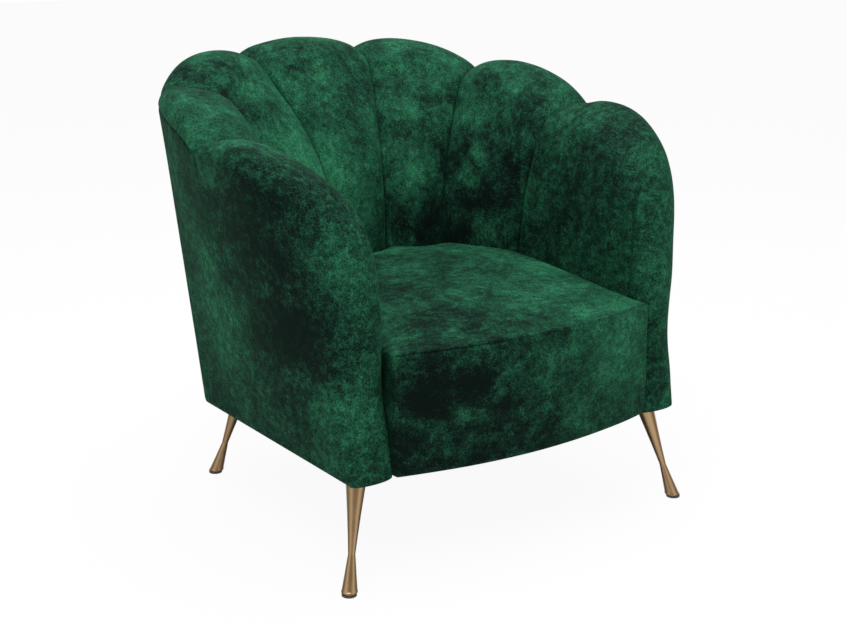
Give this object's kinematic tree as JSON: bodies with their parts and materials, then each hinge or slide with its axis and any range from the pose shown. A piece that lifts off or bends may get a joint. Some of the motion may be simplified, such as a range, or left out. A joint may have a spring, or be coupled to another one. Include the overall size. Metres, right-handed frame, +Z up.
{
  "type": "scallop back chair",
  "caption": "Low armchair whose scalloped back and arms are padded petals standing round a bow-fronted seat, on splayed hourglass metal legs.",
  "frame": {"origin": "centre of the chair's footprint on the floor", "axes": "+X to the right as seen from the front, +Y to the back, +Z up"},
  "size_m": [0.864, 0.814, 0.806],
  "materials": {
    "velvet": "crushed velvet pile, bright at grazing angles",
    "foam": "soft upholstery foam",
    "black_cloth": "matte non-woven cloth",
    "wood": "planed, unfinished",
    "plywood": "sanded, unfinished",
    "spring_steel": "bright drawn and pressed steel",
    "gold_metal": "satin gold plating",
    "dark_plastic": "matte"
  },
  "bodies": {
    "root": {"base_board": "plywood", "back_inner_board": "plywood", "right_centre_rib": "plywood", "left_centre_rib": "plywood", "right_back_rib": "plywood", "left_back_rib": "plywood", "right_side_rib": "plywood", "left_side_rib": "plywood", "right_arm_front_board": "plywood", "left_arm_front_board": "plywood", "right_arm_inner_board": "plywood", "left_arm_inner_board": "plywood", "front_seat_rail": "wood", "right_side_seat_rail": "wood", "left_side_seat_rail": "wood", "rear_seat_rail": "wood", "right_corner_seat_rail": "wood", "left_corner_seat_rail": "wood", "dust_cloth": "black_cloth", "seat_deck_cloth": "black_cloth", "seat_spring_3": "spring_steel", "right_seat_spring_inner": "spring_steel", "left_seat_spring_inner": "spring_steel", "right_seat_spring_outer": "spring_steel", "left_seat_spring_outer": "spring_steel", "right_front_leg_plate": "spring_steel", "left_front_leg_plate": "spring_steel", "right_rear_leg_plate": "spring_steel", "left_rear_leg_plate": "spring_steel", "centre_petal_cover": "velvet", "right_back_petal_cover": "velvet", "left_back_petal_cover": "velvet", "right_side_petal_cover": "velvet", "left_side_petal_cover": "velvet", "right_arm_petal_cover": "velvet", "left_arm_petal_cover": "velvet", "back_outer_cover": "velvet", "right_side_outer_cover": "velvet", "left_side_outer_cover": "velvet", "seat_cover": "velvet", "centre_petal_foam": "foam", "right_back_petal_foam": "foam", "left_back_petal_foam": "foam", "right_side_petal_foam": "foam", "left_side_petal_foam": "foam", "right_arm_petal_foam": "foam", "left_arm_petal_foam": "foam", "right_arm_front_pad": "foam", "left_arm_front_pad": "foam", "seat_foam": "foam", "seat_front_pad": "foam", "right_front_leg": "gold_metal", "left_front_leg": "gold_metal", "right_rear_leg": "gold_metal", "left_rear_leg": "gold_metal", "right_front_foot_glide": "dark_plastic", "left_front_foot_glide": "dark_plastic", "right_rear_foot_glide": "dark_plastic", "left_rear_foot_glide": "dark_plastic"}
  },
  "joints": []
}
